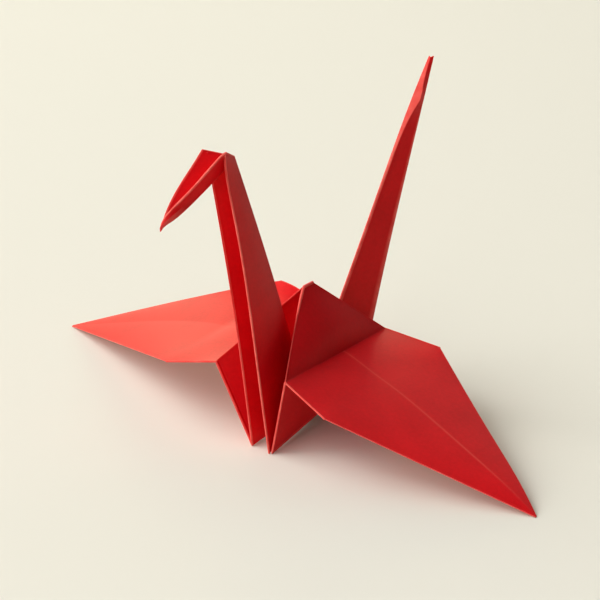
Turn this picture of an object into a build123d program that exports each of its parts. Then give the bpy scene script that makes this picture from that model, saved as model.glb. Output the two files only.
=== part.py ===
# One square of paper folded into a bird that stands on its two folded legs and its wing tips.
# X runs from the tail to the head, Y from the far wing to the near wing, Z up from the floor.
# The zero point is on the floor under the top of the hump.
# Places on the paper and in space are given as shares of the side of the square.
import os

from build123d import *

os.makedirs("parts", exist_ok=True)

# Sizes in millimetres
sheet_side = 150.0
layer_thickness = 0.12
seam_width = 0.35

# How many layers of paper lie on each other
wing_layers = 2
hump_layers = 1
groove_layers = 1
wall_layers = 2
corner_flap_layers = 2
limb_layers = 4

# Rounded folds are a little thicker than the layers that meet in them
fold_roundness = 1.12
knuckle_roundness = 1.2

# Hump and body, folded corners as shares of the sheet side
hump_shares = (-0.003, 0.004, 0.1966)
near_front_shoulder_shares = (0.1105, 0.0515, 0.104)
near_rear_shoulder_shares = (-0.1205, 0.0407, 0.1018)
far_front_shoulder_shares = (0.112, -0.0602, 0.1042)
far_rear_shoulder_shares = (-0.1187, -0.0495, 0.0992)
near_front_foot_shares = (0.1088, 0.0296, 0.0)
far_front_foot_shares = (0.1062, -0.0052, 0.0)
near_rear_foot_shares = (-0.092, 0.0182, 0.0)
far_rear_foot_shares = (-0.0949, -0.0242, 0.0)
near_wall_end_shares = (0.004, 0.0315, 0.026)
far_wall_end_shares = (-0.002, -0.0345, 0.021)

# Root of the neck and of the tail, and the bend of the groove above each
neck_root_shares = (0.0094, 0.0113, 0.0262)
tail_root_shares = (-0.001, -0.0087, 0.0158)
front_groove_bend_shares = (0.028, 0.0068, 0.108)
rear_groove_bend_shares = (-0.0445, -0.0015, 0.106)

# Neck, head and tail
nape_shares = (0.1384, -0.0075, 0.3952)
near_jaw_shares = (0.1667, 0.0035, 0.4088)
far_jaw_shares = (0.1652, -0.034, 0.4045)
beak_tip_shares = (0.2518, -0.0272, 0.3266)
tail_tip_shares = (-0.2712, 0.0, 0.4398)

# Wings
near_front_elbow_shares = (0.1337, 0.131, 0.0848)
near_rear_elbow_shares = (-0.1313, 0.1215, 0.0913)
near_wing_tip_shares = (0.0505, 0.3919, 0.0013)
far_front_elbow_shares = (0.1165, -0.1412, 0.0846)
far_rear_elbow_shares = (-0.128, -0.1425, 0.124)
far_wing_tip_shares = (-0.0509, -0.4694, 0.0013)

# Where the crease of each wing leaves the root line, and how far it stands up at the elbows
# and halfway from there to the tip, with the rise of the rear edge there
near_crease_root_share = 0.565
near_ridge_shares = (0.001, 0.0063)
near_rear_rise_share = 0.0018
far_crease_root_share = 0.5
far_ridge_shares = (-0.0077, 0.0039)
far_rear_rise_share = 0.0029

# Raw edges of the narrowed corners, on the wing root and down the wall
corner_flap_root_share = 0.414
corner_flap_meet_share = 0.54

# The narrowed corners stay a hair inside the edges that they lie along
fold_setback_share = 0.015

# Derived sizes
foot_radius = limb_layers * layer_thickness * knuckle_roundness / 2
floor_lift = Vector(0, 0, foot_radius)
middle_share = 1 / 2


def place(shares):
    """A point given in shares of the sheet side, lifted so that the feet rest on the floor."""
    return Vector(*shares) * sheet_side + floor_lift


def between(start, end, share):
    """The point that lies a share of the way from start to end."""
    return start + (end - start) * share


hump = place(hump_shares)
near_front_shoulder = place(near_front_shoulder_shares)
near_rear_shoulder = place(near_rear_shoulder_shares)
far_front_shoulder = place(far_front_shoulder_shares)
far_rear_shoulder = place(far_rear_shoulder_shares)
near_front_foot = place(near_front_foot_shares)
far_front_foot = place(far_front_foot_shares)
near_rear_foot = place(near_rear_foot_shares)
far_rear_foot = place(far_rear_foot_shares)
near_wall_end = place(near_wall_end_shares)
far_wall_end = place(far_wall_end_shares)
neck_root = place(neck_root_shares)
tail_root = place(tail_root_shares)
front_groove_bend = place(front_groove_bend_shares)
rear_groove_bend = place(rear_groove_bend_shares)
nape = place(nape_shares)
near_jaw = place(near_jaw_shares)
far_jaw = place(far_jaw_shares)
beak_tip = place(beak_tip_shares)
tail_tip = place(tail_tip_shares)
near_front_elbow = place(near_front_elbow_shares)
near_rear_elbow = place(near_rear_elbow_shares)
near_wing_tip = Vector(*near_wing_tip_shares) * sheet_side
far_front_elbow = place(far_front_elbow_shares)
far_rear_elbow = place(far_rear_elbow_shares)
far_wing_tip = Vector(*far_wing_tip_shares) * sheet_side


def corner_directions(corners, panels):
    """For each corner the direction across the paper, long enough to keep the thickness in every
    panel that meets there."""
    directions = []
    for number in range(len(corners)):
        total = Vector(0, 0, 0)
        across = []
        for panel in panels:
            if number in panel:
                a, b, c = (corners[k] for k in panel)
                normal = (b - a).cross(c - a).normalized()
                across.append(normal)
                total = total + normal
        total = total.normalized()
        share = sum(total.dot(normal) for normal in across) / len(across)
        directions.append(total / share)
    return directions


def paper(corners, panels, low, high, directions=None):
    """A piece of folded paper: triangles that share corners, from low to high across the paper."""
    if directions is None:
        directions = corner_directions(corners, panels)
    under = [corner + way * low for corner, way in zip(corners, directions)]
    over = [corner + way * high for corner, way in zip(corners, directions)]
    edges = []
    for a, b, c in panels:
        edges += [(a, b), (b, c), (c, a)]
    rim = [(a, b) for a, b in edges if (b, a) not in edges]
    skins = []
    for a, b, c in panels:
        skins.append((over[a], over[b], over[c]))
        skins.append((under[c], under[b], under[a]))
    for a, b in rim:
        skins.append((under[a], under[b], over[b]))
        skins.append((under[a], over[b], over[a]))
    faces = [Face(Wire.make_polygon(list(skin), close=True)) for skin in skins]
    return Solid(Shell(faces))


def set_back(corners, outline):
    """The same corners, drawn in a hair towards the middle of an outline."""
    centre = sum((corners[k] for k in outline), Vector(0, 0, 0)) / len(outline)
    return [between(corner, centre, fold_setback_share) for corner in corners]


def fold(start, end, layers):
    """The rounded edge of a fold between two corners."""
    radius = layers * layer_thickness * fold_roundness / 2
    line = end - start
    return Solid.make_cylinder(radius, line.length, Plane(start, z_dir=line.normalized()))


def knuckle(corner, layers):
    """The rounded corner where folds meet."""
    radius = layers * layer_thickness * knuckle_roundness / 2
    return Solid.make_sphere(radius, Plane(corner), angle1=-90, angle2=90, angle3=360)


def wing(front_shoulder, rear_shoulder, front_elbow, rear_elbow, tip, form):
    """A wing: the whole point of paper, folded along its front and rear edges, with a low ridge.
    The form is where the crease starts, its two heights, and how far each edge rises halfway."""
    start, heights, front_rise, rear_rise = form
    middle = between(front_shoulder, rear_shoulder, start)
    up = Vector(0, 0, sheet_side)
    front_half = between(front_elbow, tip, middle_share) + up * front_rise
    rear_half = between(rear_elbow, tip, middle_share) + up * rear_rise
    ridge = between(front_elbow, rear_elbow, middle_share) + up * heights[0]
    blade_ridge = between(between(front_elbow, rear_elbow, middle_share), tip, middle_share)
    blade_ridge = blade_ridge + up * heights[1]
    corners = [front_shoulder, middle, rear_shoulder, front_elbow, ridge, rear_elbow]
    corners += [front_half, blade_ridge, rear_half, tip]
    panels = [(0, 3, 1), (3, 4, 1), (2, 1, 5), (5, 1, 4), (3, 6, 7), (3, 7, 4)]
    panels += [(5, 4, 7), (5, 7, 8), (6, 9, 7), (8, 7, 9)]
    return corners, panels


def wall(front_shoulder, rear_shoulder, front_foot, rear_foot, low_end):
    """A side of the body below the wing, with the places where the narrowed corners end on it."""
    middle = between(front_shoulder, rear_shoulder, middle_share)
    front_mark = between(middle, front_shoulder, corner_flap_root_share)
    rear_mark = between(middle, rear_shoulder, corner_flap_root_share)
    meet = between(middle, low_end, corner_flap_meet_share)
    corners = [front_shoulder, front_mark, middle, rear_mark, rear_shoulder, meet, low_end]
    corners += [front_foot, rear_foot]
    front_panels = [(0, 7, 1), (1, 7, 5), (5, 7, 6)]
    rear_panels = [(4, 3, 8), (3, 5, 8), (5, 6, 8)]
    window_panels = [(1, 5, 2), (2, 5, 3)]
    return corners, front_panels, rear_panels, window_panels


def centred(corners, panels, layers):
    """A pile of layers with its corners halfway through it."""
    reach = layers * layer_thickness / 2
    return paper(corners, panels, -reach, reach)


def half_limb(root, foot, jaw, end):
    """Half of the neck, from its spine to its open edge."""
    return centred([root, foot, jaw, end], [(0, 1, 3), (1, 2, 3)], limb_layers)


def groove_side(shoulder, foot, root, bend):
    """One face of the groove that the neck or the tail rises from."""
    return centred([hump, shoulder, foot, root, bend], [(0, 1, 4), (1, 3, 4), (1, 2, 3)], groove_layers)


sides = [
    (near_front_shoulder, near_rear_shoulder, near_front_foot, near_rear_foot, near_wall_end,
     near_front_elbow, near_rear_elbow, near_wing_tip,
     (near_crease_root_share, near_ridge_shares, 0, near_rear_rise_share)),
    (far_rear_shoulder, far_front_shoulder, far_rear_foot, far_front_foot, far_wall_end,
     far_rear_elbow, far_front_elbow, far_wing_tip,
     (far_crease_root_share, far_ridge_shares, far_rear_rise_share, 0)),
]

pieces = []
seams = []
for shoulder_a, shoulder_b, foot_a, foot_b, low_end, elbow_a, elbow_b, tip, form in sides:
    # The wing, two layers thick, with the narrowed corners under its root
    wing_corners, wing_panels = wing(shoulder_a, shoulder_b, elbow_a, elbow_b, tip, form)
    pieces.append(centred(wing_corners, wing_panels, wing_layers))
    top_of_flap = -wing_layers * layer_thickness / 4
    under_of_flap = -(wing_layers / 2 + corner_flap_layers) * layer_thickness
    for shoulder, elbow, ways in ((shoulder_a, elbow_a, 1), (shoulder_b, elbow_b, -1)):
        mark = between(wing_corners[1], shoulder, corner_flap_root_share)
        order = set_back([shoulder, elbow, mark][::ways], (0, 1, 2))
        pieces.append(paper(order, [(0, 1, 2)], under_of_flap, top_of_flap))
    seams.append((wing_corners[1], wing_corners[4], wing_corners[3]))
    seams.append((wing_corners[4], wing_corners[7], wing_corners[3]))
    seams.append((wing_corners[7], wing_corners[9], wing_corners[6]))
    # The wall below the root of the wing, with the narrowed corners on its outside
    wall_corners, front_panels, rear_panels, window_panels = wall(
        shoulder_a, shoulder_b, foot_a, foot_b, low_end)
    whole_wall = front_panels + rear_panels + window_panels
    pieces.append(centred(wall_corners, whole_wall, wall_layers))
    flap_low = wall_layers * layer_thickness / 4
    flap_high = (wall_layers / 2 + corner_flap_layers) * layer_thickness
    ways = corner_directions(wall_corners, whole_wall)
    for panels, outline in ((front_panels, (0, 1, 5, 6, 7)), (rear_panels, (4, 3, 5, 6, 8))):
        pieces.append(paper(set_back(wall_corners, outline), panels, flap_low, flap_high, ways))
    # The side of the hump above the wing
    pieces.append(centred([hump, shoulder_b, shoulder_a], [(0, 1, 2)], hump_layers))
    # Folds of this side
    pieces.append(fold(shoulder_a, shoulder_b, wing_layers + hump_layers))
    for shoulder, foot in ((shoulder_a, foot_a), (shoulder_b, foot_b)):
        pieces.append(fold(hump, shoulder, hump_layers + groove_layers))
        pieces.append(fold(shoulder, foot, limb_layers))
        pieces.append(knuckle(shoulder, limb_layers))
        pieces.append(knuckle(foot, limb_layers))

# The grooves in front of and behind the hump
pieces.append(groove_side(near_front_shoulder, near_front_foot, neck_root, front_groove_bend))
pieces.append(groove_side(far_front_shoulder, far_front_foot, neck_root, front_groove_bend))
pieces.append(groove_side(near_rear_shoulder, near_rear_foot, tail_root, rear_groove_bend))
pieces.append(groove_side(far_rear_shoulder, far_rear_foot, tail_root, rear_groove_bend))
for bend, root in ((front_groove_bend, neck_root), (rear_groove_bend, tail_root)):
    pieces.append(fold(hump, bend, hump_layers + groove_layers))
    pieces.append(fold(bend, root, hump_layers + groove_layers))

# The neck, turned up inside the front of the body, and the head turned down inside the neck
for foot, jaw in ((near_front_foot, near_jaw), (far_front_foot, far_jaw)):
    pieces.append(half_limb(neck_root, foot, jaw, nape))
    pieces.append(centred([nape, jaw, beak_tip], [(0, 1, 2)], limb_layers))
    pieces.append(fold(neck_root, foot, limb_layers))
    pieces.append(fold(nape, jaw, limb_layers))
pieces.append(fold(neck_root, nape, limb_layers))
pieces.append(fold(nape, beak_tip, limb_layers))

# The tail, turned up inside the rear of the body
for foot in (near_rear_foot, far_rear_foot):
    pieces.append(centred([tail_root, foot, tail_tip], [(0, 1, 2)], limb_layers))
    pieces.append(fold(tail_root, foot, limb_layers))
pieces.append(fold(tail_root, tail_tip, limb_layers))
pieces.append(knuckle(nape, limb_layers))
pieces.append(knuckle(hump, hump_layers + groove_layers))

# The seam under each wing, where two raw edges of the paper meet
grooves = []
for start, end, beside in seams:
    line = (end - start).normalized()
    across = line.cross(beside - start).normalized()
    across = across if across.Z > 0 else -across
    depth = wing_layers * layer_thickness
    side = across.cross(line) * seam_width / 2
    corner = Plane(start - side - across * depth * 3 / 2, x_dir=line, z_dir=across)
    grooves.append(Solid.make_box((end - start).length, seam_width, depth * 3 / 2, corner))

with BuildPart() as folded_sheet:
    add(pieces, clean=False)
    add(grooves, clean=False, mode=Mode.SUBTRACT)

folded_sheet.part.label = "folded_sheet"
export_step(folded_sheet.part, "parts/folded_sheet.step")
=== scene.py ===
from math import radians

import bpy
import numpy as np
from mathutils import Matrix


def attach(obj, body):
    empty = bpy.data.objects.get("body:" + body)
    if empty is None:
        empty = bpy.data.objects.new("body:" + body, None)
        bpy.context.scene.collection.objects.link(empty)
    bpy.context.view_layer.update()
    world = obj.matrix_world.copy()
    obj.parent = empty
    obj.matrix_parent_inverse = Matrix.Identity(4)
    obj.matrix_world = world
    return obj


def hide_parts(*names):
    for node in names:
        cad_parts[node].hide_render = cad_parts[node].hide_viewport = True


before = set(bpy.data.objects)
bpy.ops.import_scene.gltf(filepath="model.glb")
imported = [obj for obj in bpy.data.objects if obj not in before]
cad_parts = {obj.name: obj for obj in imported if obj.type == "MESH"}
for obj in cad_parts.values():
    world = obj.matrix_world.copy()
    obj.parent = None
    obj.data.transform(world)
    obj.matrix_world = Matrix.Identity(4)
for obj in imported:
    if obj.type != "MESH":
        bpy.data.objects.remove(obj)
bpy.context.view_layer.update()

MM = 0.001
UP = np.array([0.0, 0.0, 1.0])

# The sheet that the bird is folded from, in metres: its side and the thickness of one layer.
# The whole bird is lifted until the folds under its feet stand on the floor.
SIDE = 0.15
LAYER = 0.095 * MM
LIFT = UP * 0.24 * MM


def place(x, y, z):
    """A folded corner given in shares of the sheet side, lifted with the feet."""
    return np.array([x, y, z]) * SIDE + LIFT


# Camera: where it stands, its three directions, and its lens from the focal length in pixels
EYE = place(2.0278, 1.5435, 1.1571)
BACK = np.array([0.7399978, 0.56722423, 0.36146913])
RIGHT = np.array([-0.61054846, 0.7919464, 0.00717442])
ABOVE = np.array([-0.28219467, -0.22600348, 0.93235647])
SENSOR_WIDTH = 36.0
FRAME_PIXELS = 600
FOCAL_PIXELS = 2111.84
LENS = FOCAL_PIXELS / FRAME_PIXELS * SENSOR_WIDTH

# Body
hump = place(-0.0043, 0.0058, 0.1936)
brow = place(0.0128, 0.0051, 0.1925)
near_front_shoulder = place(0.1105, 0.0515, 0.104)
near_rear_shoulder = place(-0.1205, 0.0407, 0.1018)
far_front_shoulder = place(0.112, -0.0602, 0.1042)
far_rear_shoulder = place(-0.1187, -0.0495, 0.0992)
near_front_foot = place(0.1088, 0.0296, 0.0)
far_front_foot = place(0.1062, -0.0052, 0.0)
near_rear_foot = place(-0.092, 0.0182, 0.0)
far_rear_foot = place(-0.0949, -0.0242, 0.0)
near_wall_end = place(0.004, 0.0315, 0.026)
far_wall_end = place(-0.002, -0.0345, 0.021)
neck_root = place(0.0094, 0.0113, 0.0262)
tail_root = place(-0.001, -0.0087, 0.0158)
front_groove_bend = place(0.028, 0.0068, 0.108)
rear_groove_bend = place(-0.0445, -0.0015, 0.106)
# Neck, head and tail
nape = place(0.1384, -0.0075, 0.3952)
near_jaw = place(0.1667, 0.0035, 0.4088)
far_jaw = place(0.1652, -0.034, 0.4045)
beak_tip = place(0.2518, -0.0272, 0.3266)
tail_tip = place(-0.2712, 0.0, 0.4398)
# Wings
near_front_elbow = place(0.1337, 0.131, 0.0848)
near_rear_elbow = place(-0.1313, 0.1215, 0.0913)
near_wing_tip = place(0.0509, 0.3876, -0.0007)
far_front_elbow = place(0.1165, -0.1412, 0.0846)
far_rear_elbow = place(-0.128, -0.1425, 0.124)
far_wing_tip = place(-0.0509, -0.4694, -0.0007)


# Curves and sheets

def run(start, end, count, *bends):
    """Points from start to end. Each bend (peak, offset) adds offset times the sine of pi times
    the share to a power, so that it is nothing at both ends and strongest at the share peak."""
    share = np.linspace(0.0, 1.0, count)[:, None]
    points = start + (end - start) * share
    for peak, offset in bends:
        power = np.log(0.5) / np.log(peak)
        points = points + np.asarray(offset) * np.sin(np.pi * share ** power)
    return points


def joined(*runs):
    """Several runs end to end, each starting where the last one stopped."""
    return np.concatenate([runs[0]] + [piece[1:] for piece in runs[1:]])


def sample(curve, share):
    """Places on a curve at shares of its points, straight between one point and the next."""
    at = np.clip(share, 0.0, 1.0) * (len(curve) - 1)
    return np.stack([np.interp(at, np.arange(len(curve)), curve[:, k]) for k in range(3)], axis=-1)


def spread(count, edge=0.02):
    """Shares from 0 to 1: even in the middle, and close together at both ends, where the paper
    turns over a fold, at the share edge and at 2.2 and 4 times it."""
    inner = np.linspace(0.0, 1.0, count)[1:-1]
    close = np.array([0.0, edge, edge * 2.2, edge * 4.0])
    inner = inner[(inner > close[-1] * 1.2) & (inner < 1.0 - close[-1] * 1.2)]
    return np.concatenate([close, inner, 1.0 - close[::-1]])


def normals_of(grid):
    """The direction across a sheet: the cross product of its steps along and across, with its
    length made one."""
    along = np.gradient(grid, axis=0)
    across = np.gradient(grid, axis=1)
    normal = np.cross(along, across)
    return normal / np.maximum(np.linalg.norm(normal, axis=-1, keepdims=True), 1e-12)


def lengths(grid, axis):
    """How far each point lies from the first edge and from the last edge along one axis: the sum
    of the steps on either side of it."""
    steps = np.linalg.norm(np.diff(grid, axis=axis), axis=-1)
    zero = np.zeros_like(np.take(steps, [0], axis=axis))
    total = np.concatenate([zero, np.cumsum(steps, axis=axis)], axis=axis)
    last = np.take(total, [-1], axis=axis)
    return total, last - total


WEAR_REACH = 0.2 * MM
ROLL_SIDES = 8
SHARP_ANGLE = radians(40)


class Paper:
    """Collects the vertices, faces, wear with its painted highlight, and pressed creases of one
    folded sheet.
    """

    def __init__(self):
        self.points, self.faces, self.wear, self.crease, self.count = [], [], [], [], 0

    def add(self, points, faces, wear, crease):
        self.points.append(points)
        self.faces.append(faces + self.count)
        self.wear.append(wear)
        self.crease.append(crease)
        self.count += len(points)

    def sheet(self, grid, low, high, folds="", crease=None, flip=False, painted_highlight=None):
        """A layer of paper: the grid moved along its normals by low and by high, closed round its
        rim. The letters in folds name its worn edges, which also carry a painted highlight: a
        first row, b last row, c first column, d last column. The wear at a point is one less its
        distance from the nearest of them over the reach of wear, to the power 1.5, and never under
        the painted highlight given for the sheet."""
        if flip:
            grid = grid[:, ::-1]
            folds = folds.translate(str.maketrans("cd", "dc"))
            crease = None if crease is None else crease[:, ::-1]
            painted_highlight = None if painted_highlight is None else painted_highlight[:, ::-1]
        rows, columns, _ = grid.shape
        size = rows * columns
        normal = normals_of(grid)
        over = (grid + normal * high).reshape(-1, 3)
        under = (grid + normal * low).reshape(-1, 3)
        number = np.arange(size).reshape(rows, columns)
        quads = np.stack([number[:-1, :-1], number[1:, :-1], number[1:, 1:], number[:-1, 1:]], -1)
        quads = quads.reshape(-1, 4)
        ring = np.concatenate([number[0, :], number[1:, -1], number[-1, -2::-1],
                               number[-2:0:-1, 0]])
        after = np.roll(ring, -1)
        rim = np.stack([ring, after, after + size, ring + size], -1)
        near = np.full((rows, columns), 1.0)
        for letter, away in zip("abcd", lengths(grid, 0) + lengths(grid, 1)):
            if letter in folds:
                near = np.minimum(near, away / WEAR_REACH)
        wear = np.clip(1.0 - near, 0.0, 1.0) ** 1.5
        wear = (wear if painted_highlight is None else np.maximum(wear, painted_highlight)).reshape(-1)
        mark = np.zeros(size) if crease is None else crease.reshape(-1)
        faces = np.concatenate([quads, (quads + size)[:, ::-1], rim])
        self.add(np.concatenate([over, under]), faces, np.tile(wear, 2), np.tile(mark, 2))

    def roll(self, curve, radius, wear=1.0, thin=0.0):
        """A rounded fold: circles square to a curve, closed by half a ball at each end, whose
        circles have the root of one less the square of their place as radius. The wear, which is
        real wear plus a painted highlight where the fold catches the light, is one value or one
        for each point of the curve. The radius shrinks by thin times the sixth power of the share
        along it."""
        count = len(curve)
        step = np.gradient(curve, axis=0)
        step /= np.linalg.norm(step, axis=1, keepdims=True)
        first = np.cross(step, UP)
        upright = np.linalg.norm(first, axis=1, keepdims=True) < 0.05
        first = np.where(upright, np.cross(step, np.array([1.0, 0.0, 0.0])), first)
        first /= np.linalg.norm(first, axis=1, keepdims=True)
        second = np.cross(first, step)
        radius = radius * (1 - thin * np.linspace(0.0, 1.0, count) ** 6)
        cap = np.array([1.0, 0.87, 0.5, 0.0])
        take = np.concatenate([[0] * len(cap), np.arange(1, count - 1), [count - 1] * len(cap)])
        inset = np.concatenate([-cap, np.zeros(count - 2), cap[::-1]])
        size = np.sqrt(1.0 - np.minimum(inset ** 2, 0.999)) * radius[take]
        turn = np.linspace(0.0, 2 * np.pi, ROLL_SIDES, endpoint=False)[None, :, None]
        ring = first[take][:, None] * np.cos(turn) + second[take][:, None] * np.sin(turn)
        centre = curve[take] + step[take] * (inset * radius[take])[:, None]
        points = centre[:, None] + ring * size[:, None, None]
        rows = len(points)
        number = np.arange(rows * ROLL_SIDES).reshape(rows, ROLL_SIDES)
        beside = np.roll(number, -1, axis=1)
        quads = np.stack([number[:-1], beside[:-1], beside[1:], number[1:]], -1).reshape(-1, 4)
        start = np.full(ROLL_SIDES, rows * ROLL_SIDES)
        end = start + 1
        start_fan = np.stack([number[0], start, start, beside[0]], -1)
        end_fan = np.stack([beside[-1], end, end, number[-1]], -1)
        poles = np.stack([points[0].mean(0), points[-1].mean(0)])
        points = np.concatenate([points.reshape(-1, 3), poles])
        worn = np.broadcast_to(wear, count)[take]
        worn = np.concatenate([np.repeat(worn, ROLL_SIDES), worn[[0, -1]]])
        faces = np.concatenate([quads, start_fan, end_fan])
        self.add(points, faces, worn, np.zeros(len(points)))

    def build(self, name):
        """One mesh of everything collected. A fan's doubled corner is dropped from its face."""
        faces = np.concatenate(self.faces)
        polygons = [list(dict.fromkeys(face)) for face in faces.tolist()]
        mesh = bpy.data.meshes.new(name)
        mesh.from_pydata(np.concatenate(self.points).tolist(), [],
                         [polygon for polygon in polygons if len(polygon) > 2])
        for key, values in (("fold_wear_and_painted_highlight", self.wear), ("crease", self.crease)):
            layer = mesh.attributes.new(key, "FLOAT", "POINT")
            layer.data.foreach_set("value", np.concatenate(values).astype(np.float32))
        mesh.validate()
        mesh.shade_smooth()
        mesh.set_sharp_from_angle(angle=SHARP_ANGLE)
        thing = bpy.data.objects.new(name, mesh)
        bpy.context.scene.collection.objects.link(thing)
        return thing


paper = Paper()


# Wings

# Rows from the root to the elbows and from there to the tip, places from the crease to an edge,
# the elbows' share of the length, and the share over which the bend at the elbows is spread
ROOT_ROWS, BLADE_ROWS = 10, 40
SIDE_COLUMNS = 18
ELBOW_SHARE = 0.209
ELBOW_REACH = 0.2
TIP_HALF_WIDTH = 0.16 * MM
BOW_HEIGHT = 0.22 * MM
# The pressed crease: its width, and the last share of the wing over which it fades
CREASE_WIDTH = 0.22 * MM
CREASE_FADE = 0.3
# How far the narrowed corners under the root reach in from the wing's edge, as shares of the way
# to the crease: at the root and at the elbow
FLAP_ROOT_SHARE = 0.586
FLAP_ELBOW_SHARE = 0.02
# Wear on the wing's front edge, rear edge and root line: real wear plus a painted highlight, most
# on the front edge, which catches the light
FRONT_EDGE_WEAR, REAR_EDGE_WEAR, ROOT_WEAR = 0.6, 0.2, 0.1


def soft_bend(grid, share, corner):
    """How far each row moves when the sharp turn of the columns at one row is spread out: half the
    change of slope times (the root of the squares of the distance and the reach, less the
    distance), less its own straight line between both ends."""
    row = np.argmin(np.abs(share[:, 0] - corner))
    turn = ((grid[-1] - grid[row]) / (1 - corner) - (grid[row] - grid[0]) / corner) / 2
    away = np.abs(share - corner)
    lift = np.sqrt(away ** 2 + ELBOW_REACH ** 2) - away
    lift = lift - lift[0] * (1 - share) - lift[-1] * share
    return turn[None] * lift[:, :, None] * UP


def wing(front_root, rear_root, front_elbow, rear_elbow, tip, crease_share, ridge, root_bends,
         rear_bends, curl):
    """A wing's middle surface. Along it the share goes from the root line to the tip, across it
    from -1 at the front edge through 0 at the crease to 1 at the rear edge. The crease is the mean
    of both edges, moved at the root to its own share of the root line by the power 1.5 of the way
    left to the elbows, plus the ridge times the sine of pi times the share to the power 0.62, plus
    the curl times the sixth power of the share times the share left. Each side is straight from
    the crease to the edge, plus a low bow: one less the square of the place between them, counted
    from -1 to 1, times the sine of pi times the root of the share. The crease's mark is the
    exponential of less the square of the distance from it over its width."""
    nose = (front_elbow - rear_elbow) / np.linalg.norm(front_elbow - rear_elbow)
    front = joined(run(front_root, front_elbow, ROOT_ROWS + 1),
                   run(front_elbow, tip + nose * TIP_HALF_WIDTH, BLADE_ROWS + 1))
    rear = joined(run(rear_root, rear_elbow, ROOT_ROWS + 1, *root_bends),
                  run(rear_elbow, tip - nose * TIP_HALF_WIDTH, BLADE_ROWS + 1, *rear_bends))
    share = np.concatenate([np.linspace(0, ELBOW_SHARE, ROOT_ROWS + 1),
                            np.linspace(ELBOW_SHARE, 1.0, BLADE_ROWS + 1)[1:]])[:, None]
    root_middle = front_root + (rear_root - front_root) * crease_share
    middle = (front + rear) / 2
    middle = middle + (root_middle - middle[0]) * (1 - np.clip(share / ELBOW_SHARE, 0, 1)) ** 1.5
    middle = middle + ridge * np.sin(np.pi * share ** 0.62)
    middle = middle + curl * share ** 6 * (1 - share)
    one_side = spread(SIDE_COLUMNS, 0.018)
    place_across = np.concatenate([-one_side[::-1], one_side[1:]])
    across = place_across[None, :, None]
    edge = np.where(across < 0, front[:, None], rear[:, None])
    centre = middle[:, None]
    bow = (1 - (2 * np.abs(across) - 1) ** 2) * np.sin(np.pi * share[:, None] ** 0.5)
    grid = centre + (edge - centre) * np.abs(across) + UP * bow * BOW_HEIGHT
    grid = grid + soft_bend(grid, share, ELBOW_SHARE) * (1 - across ** 4)
    half_width = lengths(grid, 1)[0][:, [-1]] / 2
    crease = np.exp(-(np.abs(place_across)[None, :] * half_width / CREASE_WIDTH) ** 2)
    crease = crease * np.clip((1 - share) / CREASE_FADE, 0, 1)
    return grid, crease, front, rear, middle, place_across


def across_rows(grid, across, at):
    """Places on the rows of a sheet, each row at its own places across, straight in between."""
    column = np.clip(np.searchsorted(across, at) - 1, 0, len(across) - 2)
    share = ((at - across[column]) / (across[column + 1] - across[column]))[..., None]
    row = np.arange(len(grid))[:, None]
    return grid[row, column] * (1 - share) + grid[row, column + 1] * share


def add_wing(front_root, rear_root, front_elbow, rear_elbow, tip, flip, pressed, **shape):
    """The top layer with its pressed crease, the two raw flaps under it with their seam, the
    narrowed corners under the root, and the rounded folds along both edges."""
    grid, crease, front, rear, middle, across = wing(front_root, rear_root, front_elbow,
                                                     rear_elbow, tip, **shape)
    paper.sheet(grid, 0.0, LAYER, crease=crease * pressed, flip=flip)
    seam = len(across) // 2
    for columns in (slice(0, seam), slice(seam + 1, None)):
        paper.sheet(grid[:, columns], -LAYER, -0.1 * LAYER, "cd", flip=flip)
    width = np.linspace(FLAP_ROOT_SHARE, FLAP_ELBOW_SHARE, ROOT_ROWS + 1)[:, None]
    for sign, edge, wear in ((-1, front, FRONT_EDGE_WEAR), (1, rear, REAR_EDGE_WEAR)):
        at = sign * (1 - width * np.linspace(0, 1, 8))
        strip = across_rows(grid[:ROOT_ROWS + 1], across, at)
        turn = normals_of(strip)[..., 2].mean() < 0
        paper.sheet(strip, -3 * LAYER, -1.1 * LAYER, "c", flip=turn)
        paper.roll(edge[:ROOT_ROWS + 1], 1.9 * LAYER, wear)
        paper.roll(edge[ROOT_ROWS:], 1.12 * LAYER, wear)
    root = joined(run(front_root, middle[0], 12), run(middle[0], rear_root, 12))
    paper.roll(root, 1.5 * LAYER, ROOT_WEAR)


add_wing(near_front_shoulder, near_rear_shoulder, near_front_elbow, near_rear_elbow, near_wing_tip,
         flip=False, pressed=1.0, crease_share=0.565, ridge=UP * 1.0 * MM, root_bends=(),
         rear_bends=((0.8, UP * 0.8 * MM),), curl=UP * 3.0 * MM)
add_wing(far_front_shoulder, far_rear_shoulder, far_front_elbow, far_rear_elbow, far_wing_tip,
         flip=True, pressed=0.0, crease_share=0.5, ridge=UP * 0.15 * MM,
         root_bends=((0.6, UP * 0.85 * MM),), rear_bends=((0.4, UP * 0.45 * MM),), curl=UP * 0.0)


# Hump, walls and grooves

RIDGE_POINTS, BROW_POINTS = 28, 4
SHOULDER_FOLD_POINTS = 26
PANEL_ROWS, PANEL_COLUMNS = 26, 22
WALL_POINTS = 41
PILLOW_HEIGHT = 1.1 * MM
# How far down its fold the top of the hump is worn and painted with a highlight, as a share of the
# fold
TOP_WEAR_SHARE = 0.38
LOW_FOLD_WEAR = 0.3
# The narrowed corners against a wall: their reach along it at the top, their reach from the share
# of the wall's height where they meet downwards, and that share
CORNER_TOP_REACH = 0.293
CORNER_LOW_REACH = 0.497
CORNER_MEET_SHARE = 0.54


def edge_of_hump(shoulder):
    """The fold from the top of the hump to a rear shoulder."""
    return run(hump, shoulder, BROW_POINTS + RIDGE_POINTS - 1)


def brow_of_hump(shoulder, *bends):
    """The fold from the blunt top of the hump over its brow to a front shoulder."""
    return joined(run(hump, brow, BROW_POINTS), run(brow, shoulder, RIDGE_POINTS, *bends))


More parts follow.
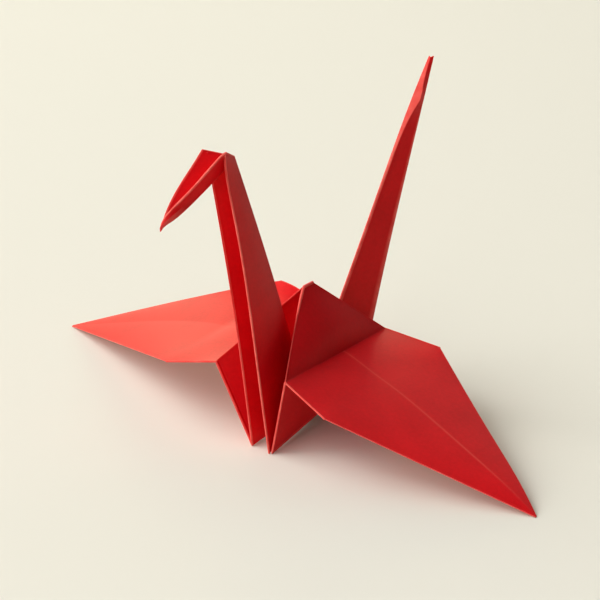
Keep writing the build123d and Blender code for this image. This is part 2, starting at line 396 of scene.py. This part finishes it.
def between_curves(first, second, rows, columns, start=0.0, stop=1.0, bulge=None):
    """A ruled sheet: straight from each point of one curve to the same share of the other, with a
    bulge that is a sine both ways and nothing on the rim."""
    along = start + (stop - start) * spread(rows)
    across = spread(columns)[None, :, None]
    grid = sample(first, along)[:, None] * (1 - across) + sample(second, along)[:, None] * across
    if bulge is not None:
        share = ((along - start) / (stop - start))[:, None, None]
        grid = grid + np.asarray(bulge) * np.sin(np.pi * across) * np.sin(np.pi * share)
    return grid


def groove(ridge, shoulder, foot, root, bend, flip, ridge_wear_and_highlight, fold_wear_and_painted_highlight):
    """One face of a groove, from its fold on the outside to its spine at the middle of the body.
    The fold is worn and painted with a highlight from the shoulder to the foot, and most at the
    top
    of the hump: the exponential of less the fourth power of the share down the fold over the worn
    share."""
    shoulder_fold = run(shoulder, foot, SHOULDER_FOLD_POINTS)
    outer = joined(ridge, shoulder_fold)
    inner = joined(run(hump, bend, RIDGE_POINTS + 1), run(bend, root, RIDGE_POINTS))
    paper.sheet(between_curves(outer, inner, 34, 16, 0.012), -LAYER / 2, LAYER / 2, flip=flip)
    top = np.exp(-(np.linspace(0.0, 1.0, len(ridge)) / TOP_WEAR_SHARE) ** 4)
    paper.roll(ridge, (1.3 + 2.0 * ridge_wear_and_highlight * top) * LAYER, ridge_wear_and_highlight * (0.45 + 0.3 * top))
    paper.roll(shoulder_fold, 2.0 * LAYER, fold_wear_and_painted_highlight)
    paper.roll(inner, 1.1 * LAYER, 0.0)
    paper.roll(run(root, foot, 14), 1.8 * LAYER, LOW_FOLD_WEAR)


def side(front_ridge, rear_ridge, front_shoulder, rear_shoulder, front_foot, rear_foot, low_end,
         flip):
    """The side of the hump above a wing and the wall below it, with the narrowed corners folded
    against the wall and meeting at its middle. The hump's side swells by the sine of pi times the
    share down it to the power 1.6, times the sine of pi times the share across it."""
    out = np.cross(rear_shoulder - front_shoulder, hump - front_shoulder)
    out = out / np.linalg.norm(out)
    panel = between_curves(front_ridge, rear_ridge, PANEL_ROWS, PANEL_COLUMNS, 0.003)
    down, over = spread(PANEL_ROWS)[:, None], spread(PANEL_COLUMNS)[None, :]
    swell = np.sin(np.pi * down ** 1.6) * np.sin(np.pi * over)
    panel = panel + out * (PILLOW_HEIGHT * swell)[..., None]
    paper.sheet(panel, -LAYER / 2, LAYER / 2, flip=flip)
    top = run(front_shoulder, rear_shoulder, WALL_POINTS)
    bottom = joined(run(front_foot, low_end, WALL_POINTS // 2 + 1),
                    run(low_end, rear_foot, WALL_POINTS // 2 + 1))
    fall = spread(16, 0.03)[:, None, None]
    paper.sheet(top[None] * (1 - fall) + bottom[None] * fall, -LAYER, LAYER, "b", flip=flip)
    closing = np.clip(fall / CORNER_MEET_SHARE, 0, 1)
    reach = CORNER_TOP_REACH + (CORNER_LOW_REACH - CORNER_TOP_REACH) * closing
    for start, sign in ((0.0, 1.0), (1.0, -1.0)):
        share = (start + sign * reach * spread(12, 0.03)[None, :, None])[..., 0]
        corner = sample(top, share) * (1 - fall) + sample(bottom, share) * fall
        paper.sheet(corner, -3 * LAYER, -1.05 * LAYER, "bd", flip=flip if sign > 0 else not flip)
    for start, end in ((front_foot, low_end), (low_end, rear_foot)):
        paper.roll(run(start, end, 12), 2.0 * LAYER, LOW_FOLD_WEAR)


near_front_ridge = brow_of_hump(near_front_shoulder, (0.35, np.array([0.2, -0.12, -0.06]) * MM))
near_rear_ridge = edge_of_hump(near_rear_shoulder)
far_front_ridge = brow_of_hump(far_front_shoulder, (0.5, np.array([0.1, -0.2, -0.25]) * MM))
far_rear_ridge = edge_of_hump(far_rear_shoulder)

side(near_front_ridge, near_rear_ridge, near_front_shoulder, near_rear_shoulder, near_front_foot,
     near_rear_foot, near_wall_end, flip=False)
side(far_front_ridge, far_rear_ridge, far_front_shoulder, far_rear_shoulder, far_front_foot,
     far_rear_foot, far_wall_end, flip=True)
# Wear on the ridges and folds: real wear plus a painted highlight, strongest on the near front
# ridge and none on the rear ridges, which lie in shade
groove(near_front_ridge, near_front_shoulder, near_front_foot, neck_root, front_groove_bend,
       flip=False, ridge_wear_and_highlight=1.0, fold_wear_and_painted_highlight=0.9)
groove(far_front_ridge, far_front_shoulder, far_front_foot, neck_root, front_groove_bend,
       flip=True, ridge_wear_and_highlight=0.25, fold_wear_and_painted_highlight=0.6)
groove(near_rear_ridge, near_rear_shoulder, near_rear_foot, tail_root, rear_groove_bend,
       flip=True, ridge_wear_and_highlight=0.0, fold_wear_and_painted_highlight=0.3)
groove(far_rear_ridge, far_rear_shoulder, far_rear_foot, tail_root, rear_groove_bend,
       flip=False, ridge_wear_and_highlight=0.0, fold_wear_and_painted_highlight=0.3)


# Neck, head and tail

LIMB_POINTS, HEAD_POINTS = 41, 31
HALF_ROWS, HALF_COLUMNS, RIDGE_COLUMNS = 40, 14, 6
# Where the halves of the head and of the tail stop short of the tip, and all edge folds at most
HEAD_STOP, TAIL_STOP = 0.985, 0.995
EDGE_FOLD_STOP = 0.985
SPINE_RADIUS, EDGE_RADIUS = 2.25 * LAYER, 2.15 * LAYER
# How much thinner a limb's folds are at the tip
LIMB_THIN_SHARE = 0.35
# The turned-over end of the head and of the tail: share along, share across, height in
# millimetres and painted highlight on the facet between the spine and the ridge
HEAD_TURN = ((0.0, 0.5, 0.0, 0.0), (0.66, 0.45, 0.0, 0.0), (0.78, 0.45, 0.5, 0.5),
             (0.9, 0.5, 0.5, 0.7), (1.0, 0.5, 0.1, 0.5))
TAIL_TURN = ((0.0, 0.03, 0.0, 0.0), (0.3, 0.03, 0.05, 0.8), (0.6, 0.04, 0.12, 0.8),
             (0.727, 0.08, 0.3, 0.8), (0.773, 0.13, 0.45, 0.75), (0.82, 0.29, 0.65, 0.65),
             (0.842, 0.46, 0.9, 0.6), (0.865, 0.72, 1.1, 0.6), (0.888, 0.75, 1.05, 0.6),
             (0.911, 0.62, 0.75, 0.6), (0.957, 0.46, 0.42, 0.5), (1.0, 0.42, 0.25, 0.4))


def aside(right, above):
    """An offset given in millimetres to the right and upwards as the camera sees it."""
    return (RIGHT * right + ABOVE * above) * MM


def half(spine, edge, flip, bulge, wear, stop=1.0, turned=None):
    """Half of a limb: four layers from its spine to its open edge, slightly rounded across, with
    the fold along the open edge. A half that is turned over has a ridge in its sheet, given by
    rows of the share along it, the share across it, the height towards the camera in millimetres
    and the painted highlight between the spine and the ridge, all straight from row to row."""
    grid, painted_highlight = between_curves(spine, edge, HALF_ROWS, HALF_COLUMNS, 0.0, stop, bulge), None
    if turned is not None:
        along = stop * spread(HALF_ROWS)
        place_of, ridge, height, light = (np.array(column) for column in zip(*turned))
        ridge = np.interp(along, place_of, ridge)[:, None]
        first = np.linspace(0, 1, RIDGE_COLUMNS)[None, :]
        last = np.linspace(0, 1, HALF_COLUMNS - RIDGE_COLUMNS)[1:]
        last = np.concatenate([[0.04], last])[None, :]
        across = np.concatenate([ridge * first, ridge + (1 - ridge) * last], axis=1)
        tent = np.concatenate([first, 1 - last], axis=1)[..., None]
        from_spine, to_edge = sample(spine, along)[:, None], sample(edge, along)[:, None]
        grid = from_spine + (to_edge - from_spine) * across[..., None]
        grid = grid + BACK * tent * (np.interp(along, place_of, height) * MM)[:, None, None]
        # Painted highlight: the facet between the spine and the ridge is made lighter as if it
        # caught the light
        lit = np.concatenate([first * 0 + 1, last * 0], axis=1)
        painted_highlight = lit * np.interp(along, place_of, light)[:, None]
    paper.sheet(grid, -2 * LAYER, 2 * LAYER, "d", flip=flip, painted_highlight=painted_highlight)
    edge_fold = sample(edge, np.linspace(0, min(stop, EDGE_FOLD_STOP), HALF_ROWS))
    paper.roll(edge_fold, EDGE_RADIUS, wear, LIMB_THIN_SHARE)


neck_spine = run(neck_root, nape, LIMB_POINTS, (0.5, aside(0.45, 0.0)))
near_neck_edge = run(near_front_foot + aside(-0.6, 0.0), near_jaw + aside(-0.2, 0.0), LIMB_POINTS,
                     (0.62, aside(0.42, 0.0)), (0.9, aside(-0.45, 0.0)))
far_neck_edge = run(far_front_foot, far_jaw + aside(0.75, -0.3), LIMB_POINTS,
                    (0.5, aside(0.55, 0.0)))
head_spine = run(nape, beak_tip, HEAD_POINTS,
                 (0.3, aside(-0.1, -0.7)), (0.75, aside(0.1, -0.2)), (0.93, aside(-0.25, 0.2)))
near_head_edge = run(near_jaw, beak_tip, HEAD_POINTS,
                     (0.25, aside(-0.2, 0.3)), (0.82, aside(-0.95, 0.15)))
far_head_edge = run(far_jaw, beak_tip, HEAD_POINTS,
                    (0.5, aside(-0.2, -0.1)), (0.62, aside(-0.6, 0.1)))
tail_spine = run(tail_root, tail_tip + aside(-0.35, -0.25), LIMB_POINTS,
                 (0.8, aside(-0.35, 0.0)))
near_tail_edge = run(near_rear_foot, tail_tip + aside(0.55, 0.2), LIMB_POINTS,
                     (0.35, aside(-0.75, 0.0)))
far_tail_edge = run(far_rear_foot, tail_tip + aside(0.0, -0.1), LIMB_POINTS,
                    (0.5, aside(-0.1, 0.0)))

# The neck's open edges lose their wear and painted highlight towards the head
toward_head = np.linspace(0.0, 1.0, HALF_ROWS)
half(neck_spine, near_neck_edge, False, aside(0.35, 0.0), 1 - 0.9 * toward_head ** 12)
half(neck_spine, far_neck_edge, True, aside(-0.2, 0.0), 0.9 * (1 - toward_head) ** 1.5)
half(head_spine, near_head_edge, False, aside(0.1, 0.1), 1.0, HEAD_STOP, HEAD_TURN)
half(head_spine, far_head_edge, True, aside(-0.1, 0.0), 0.3, HEAD_STOP)
half(tail_spine, near_tail_edge, True, aside(0.25, 0.0), 0.1, TAIL_STOP, TAIL_TURN)
half(tail_spine, far_tail_edge, False, aside(-0.1, 0.0), 0.1, TAIL_STOP)
paper.roll(neck_spine, SPINE_RADIUS, 0.0)
paper.roll(head_spine, SPINE_RADIUS, 0.3, LIMB_THIN_SHARE)
paper.roll(tail_spine, SPINE_RADIUS, 0.8, LIMB_THIN_SHARE)
for jaw in (near_jaw, far_jaw):
    paper.roll(run(nape, jaw - (jaw - nape) * 0.03, 12), 2.2 * LAYER, 0.3)

bird = paper.build("folded_paper")
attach(bird, "root")
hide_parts("folded_sheet")


# Paper

DARK_DYE = (0.60, 0.003, 0.008, 1)
LIGHT_DYE = (0.72, 0.0045, 0.0105, 1)
# Light pink of the folds: real wear plus a painted highlight where folds and turned facets catch
# the light
WEAR_AND_HIGHLIGHT_PINK = (1.0, 0.17, 0.14, 1)
PRESSED = (0.80, 0.09, 0.07, 1)


def noise(tree, where, scale, detail):
    """A noise pattern on the object's own coordinates, with its scale in cells per metre."""
    texture = tree.nodes.new("ShaderNodeTexNoise")
    texture.inputs["Scale"].default_value = scale
    texture.inputs["Detail"].default_value = detail
    tree.links.new(where.outputs["Object"], texture.inputs["Vector"])
    return texture.outputs["Fac"]


def attribute(tree, name):
    """A value kept at each point of the mesh."""
    reader = tree.nodes.new("ShaderNodeAttribute")
    reader.attribute_name = name
    return reader.outputs["Fac"]


def worked_out(tree, operation, *terms, clamp=False):
    """One step of arithmetic on its terms, which are numbers or the values of other nodes."""
    step = tree.nodes.new("ShaderNodeMath")
    step.operation = operation
    step.use_clamp = clamp
    for socket, term in zip(step.inputs, terms):
        if isinstance(term, float):
            socket.default_value = term
        else:
            tree.links.new(term, socket)
    return step.outputs["Value"]


def tinted(tree, below, colour, share):
    """The colour laid over the one below it by a share."""
    mix = tree.nodes.new("ShaderNodeMix")
    mix.data_type = "RGBA"
    mix.inputs["B"].default_value = colour
    tree.links.new(share, mix.inputs["Factor"])
    tree.links.new(below, mix.inputs["A"])
    return mix.outputs["Result"]


def red_paper():
    """Dyed red paper. The dye runs from dark to light by soft blotches plus half of a fine fleck,
    folds turn lighter in patches by real wear plus a painted highlight where they catch the light,
    the turned facets of head and tail carry a painted highlight, pressed creases show as faint
    lines, and the flecks stand up a little as fibres."""
    material = bpy.data.materials.new("red_paper")
    material.use_nodes = True
    tree = material.node_tree
    shader = tree.nodes["Principled BSDF"]
    shader.inputs["Roughness"].default_value = 0.5
    shader.inputs["Specular IOR Level"].default_value = 0.17
    shader.inputs["Specular Tint"].default_value = (1.0, 0.85, 0.55, 1.0)
    shader.inputs["Subsurface Weight"].default_value = 0.15
    shader.inputs["Subsurface Radius"].default_value = (1.0, 0.03, 0.04)
    shader.inputs["Subsurface Scale"].default_value = 0.002
    where = tree.nodes.new("ShaderNodeTexCoord")
    blotches = noise(tree, where, 90.0, 6.0)
    fibres = noise(tree, where, 1500.0, 4.0)
    patches = noise(tree, where, 420.0, 5.0)

    flecks = worked_out(tree, "MULTIPLY_ADD", fibres, 0.5, -0.25)
    dye = tree.nodes.new("ShaderNodeValToRGB")
    dark, light = dye.color_ramp.elements
    dark.position, dark.color = 0.32, DARK_DYE
    light.position, light.color = 0.68, LIGHT_DYE
    tree.links.new(worked_out(tree, "ADD", blotches, flecks), dye.inputs["Fac"])

    # Painted highlight plus real wear: the fold and facet value, in patches, lays the light pink
    # over the dye
    patchy = worked_out(tree, "MULTIPLY_ADD", patches, 1.4, 0.05)
    wear_and_highlight_share = worked_out(tree, "MULTIPLY", attribute(tree, "fold_wear_and_painted_highlight"), patchy, clamp=True)
    pressed = worked_out(tree, "MULTIPLY", attribute(tree, "crease"), 0.45)
    colour = tinted(tree, dye.outputs["Color"], WEAR_AND_HIGHLIGHT_PINK, wear_and_highlight_share)
    tree.links.new(tinted(tree, colour, PRESSED, pressed), shader.inputs["Base Color"])

    bump = tree.nodes.new("ShaderNodeBump")
    bump.inputs["Strength"].default_value = 0.12
    bump.inputs["Distance"].default_value = 0.04 * MM
    tree.links.new(fibres, bump.inputs["Height"])
    tree.links.new(bump.outputs["Normal"], shader.inputs["Normal"])
    return material


bird.data.materials.append(red_paper())


# Floor, light and camera

FLOOR_REACH = 4
LAMP_DISTANCE = 3.4
WHITE_LIGHT = (1.0, 0.985, 0.95)
WARM_LIGHT = (1.0, 0.93, 0.6)

floor_mesh = bpy.data.meshes.new("floor")
floor_mesh.from_pydata([(-FLOOR_REACH, -FLOOR_REACH, 0), (FLOOR_REACH, -FLOOR_REACH, 0),
                        (FLOOR_REACH, FLOOR_REACH, 0), (-FLOOR_REACH, FLOOR_REACH, 0)],
                       [], [(0, 1, 2, 3)])
floor = bpy.data.objects.new("floor", floor_mesh)
bpy.context.scene.collection.objects.link(floor)
pale = bpy.data.materials.new("pale_floor")
pale.use_nodes = True
pale_shader = pale.node_tree.nodes["Principled BSDF"]
pale_shader.inputs["Base Color"].default_value = (0.73, 0.716, 0.65, 1)
pale_shader.inputs["Roughness"].default_value = 0.8
pale_shader.inputs["Specular IOR Level"].default_value = 0.15
floor_mesh.materials.append(pale)

world = bpy.data.worlds.new("studio")
bpy.context.scene.world = world
world.use_nodes = True
background = world.node_tree.nodes["Background"]
background.inputs["Color"].default_value = (1.0, 0.97, 0.92, 1)
background.inputs["Strength"].default_value = 0.03


def set_at(thing, right, above, back, at):
    """Puts a camera or a lamp at a place, turned to its right, upward and backward directions."""
    matrix = np.eye(4)
    matrix[:3] = np.stack([right, above, back, at], axis=1)
    thing.matrix_world = Matrix(matrix.tolist())
    bpy.context.scene.collection.objects.link(thing)


def lamp(name, bearing, rise, size, power, colour=WHITE_LIGHT):
    """A square soft lamp that faces the bird from a bearing and a rise above the floor, in
    degrees. Bearings are counted from the way the head points towards the near wing."""
    around, up = radians(bearing), radians(rise)
    back = np.array([np.cos(around) * np.cos(up), np.sin(around) * np.cos(up), np.sin(up)])
    light = bpy.data.lights.new(name, "AREA")
    light.shape = "SQUARE"
    light.size = size
    light.energy = power
    light.color = colour
    right = np.cross(UP, back)
    right /= np.linalg.norm(right)
    set_at(bpy.data.objects.new(name, light), right, np.cross(back, right), back,
           back * LAMP_DISTANCE)


lamp("window_left", -60, 35, 3.0, 104.0)
lamp("window_left_high", -60, 60, 3.0, 43.0)
lamp("window_front", 0, 35, 3.0, 73.0)
lamp("window_back", 180, 35, 3.0, 18.0)
lamp("low_back", -138, 13, 1.5, 31.0, WARM_LIGHT)
lamp("low_left", -105, 13, 1.5, 23.0, WARM_LIGHT)

camera = bpy.data.cameras.new("camera")
camera.sensor_width = SENSOR_WIDTH
camera.lens = LENS
camera.clip_start = 0.01
eye = bpy.data.objects.new("camera", camera)
set_at(eye, RIGHT, ABOVE, BACK, EYE)
bpy.context.scene.camera = eye

bpy.context.scene.view_settings.view_transform = "Standard"
